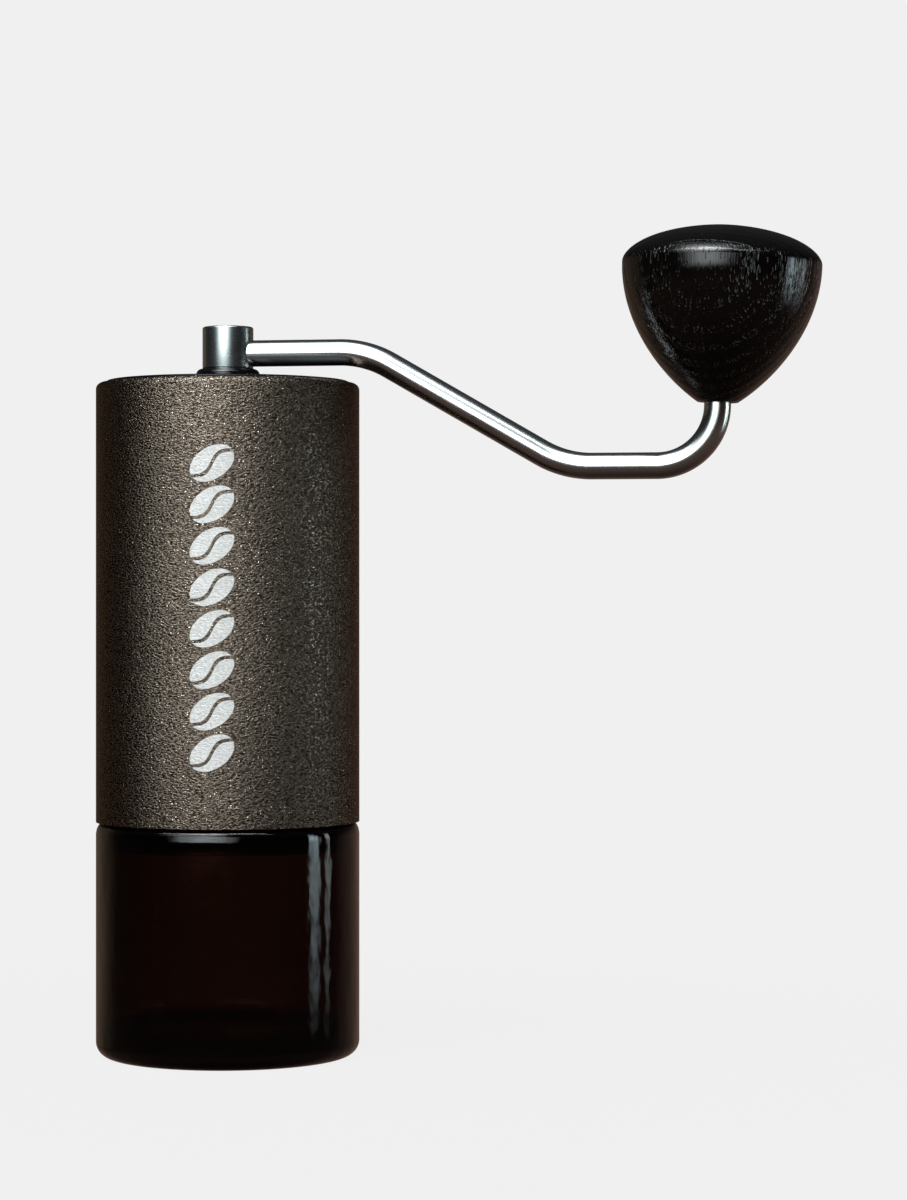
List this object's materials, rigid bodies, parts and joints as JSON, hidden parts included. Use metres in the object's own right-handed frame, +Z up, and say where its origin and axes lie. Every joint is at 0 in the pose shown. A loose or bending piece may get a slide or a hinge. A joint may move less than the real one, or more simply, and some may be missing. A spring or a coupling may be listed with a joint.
{
  "type": "hand crank coffee grinder",
  "caption": "Slim cylindrical hand coffee grinder: textured sleeve over an amber glass jar, with a bent steel crank, a turned wooden knob and adjustable conical burrs.",
  "frame": {"origin": "centre of the jar's foot, on the surface that the grinder stands on", "axes": "+Z up along the grinding axis, +X towards the knob at rest, +Y completes a right-handed frame"},
  "size_m": [0.1652, 0.06, 0.1872],
  "materials": {
    "sleeve_coat": "textured powder coat, dark bronze with a fine metal fleck",
    "frame_polymer": "moulded black, satin",
    "lid_polymer": "moulded black, fine satin",
    "gloss_polymer": "gloss black",
    "seal_rubber": "matt",
    "satin_steel": "satin, fine brushing",
    "turned_steel": "turned",
    "ball_steel": "polished",
    "cage_brass": "plain",
    "spring_steel": "oiled spring steel",
    "burr_steel": "ground",
    "knob_wood": "open-pore wood stained black, satin oil",
    "jar_glass": "dark amber glass, gloss"
  },
  "bodies": {
    "housing": {"outer_sleeve": "sleeve_coat", "inner_frame": "frame_polymer", "upper_carrier": "frame_polymer", "lower_carrier": "frame_polymer", "upper_snap_ring": "spring_steel", "lower_snap_ring": "spring_steel", "upper_outer_race": "turned_steel", "lower_outer_race": "turned_steel", "ring_burr": "burr_steel", "burr_retaining_ring": "frame_polymer", "burr_ring_screws": "turned_steel"},
    "bearing_cages": {"upper_cage": "cage_brass", "upper_balls": "ball_steel", "lower_cage": "cage_brass", "lower_balls": "ball_steel"},
    "drive": {"drive_axle": "turned_steel", "upper_inner_race": "turned_steel", "lower_inner_race": "turned_steel", "axle_circlip": "spring_steel", "spring_washer": "turned_steel", "burr_spring": "spring_steel"},
    "cone": {"cone_burr": "burr_steel", "burr_insert": "frame_polymer", "detent_balls": "ball_steel", "detent_springs": "spring_steel"},
    "dial": {"adjust_dial": "turned_steel"},
    "lid": {"lid": "lid_polymer", "lid_bush": "gloss_polymer", "lid_seal": "seal_rubber"},
    "crank": {"crank_hub": "satin_steel", "drive_socket": "gloss_polymer", "crank_arm": "satin_steel", "hub_circlip": "spring_steel", "knob_circlip": "spring_steel"},
    "knob": {"knob": "knob_wood", "knob_bush": "gloss_polymer"},
    "neck_seal": {"jar_seal": "seal_rubber"},
    "jar": {"jar": "jar_glass"}
  },
  "joints": [
    {"name": "lid_lift", "type": "slide", "parent": "housing", "child": "lid", "axis": [0, 0, 1], "range_m": [0, 0.03]},
    {"name": "crank_spin", "type": "hinge", "parent": "lid", "child": "crank", "pos_m": [0, 0, 0.16], "axis": [0, 0, 1], "continuous": true},
    {"name": "knob_spin", "type": "hinge", "parent": "crank", "child": "knob", "pos_m": [0.112, 0, 0.1478], "axis": [0.0314, 0, 0.9995], "continuous": true},
    {"name": "axle_spin", "type": "hinge", "parent": "housing", "child": "drive", "pos_m": [0, 0, 0.1], "axis": [0, 0, 1], "continuous": true},
    {"name": "cage_spin", "type": "hinge", "parent": "housing", "child": "bearing_cages", "pos_m": [0, 0, 0.1], "axis": [0, 0, 1], "continuous": true},
    {"name": "burr_lift", "type": "slide", "parent": "drive", "child": "cone", "axis": [0, 0, 1], "range_m": [-0.0015, 0.00112], "deforming": ["burr_spring"]},
    {"name": "dial_turn", "type": "hinge", "parent": "cone", "child": "dial", "pos_m": [0, 0, 0.06], "axis": [0, 0, 1], "range_deg": [-720.01, 540.01]},
    {"name": "jar_drop", "type": "slide", "parent": "housing", "child": "neck_seal", "axis": [0, 0, -1], "range_m": [0, 0.012]},
    {"name": "jar_turn", "type": "hinge", "parent": "neck_seal", "child": "jar", "pos_m": [0, 0, 0.03], "axis": [0, 0, -1], "range_deg": [0, 1080]}
  ],
  "couplings": [
    {"joint": "axle_spin", "follows": "crank_spin", "ratio": 1},
    {"joint": "cage_spin", "follows": "crank_spin", "ratio": 0.38889},
    {"joint": "dial_turn", "follows": "burr_lift", "rad_per_m": 8377.6},
    {"joint": "jar_drop", "follows": "jar_turn", "m_per_rad": 0.00063662}
  ]
}
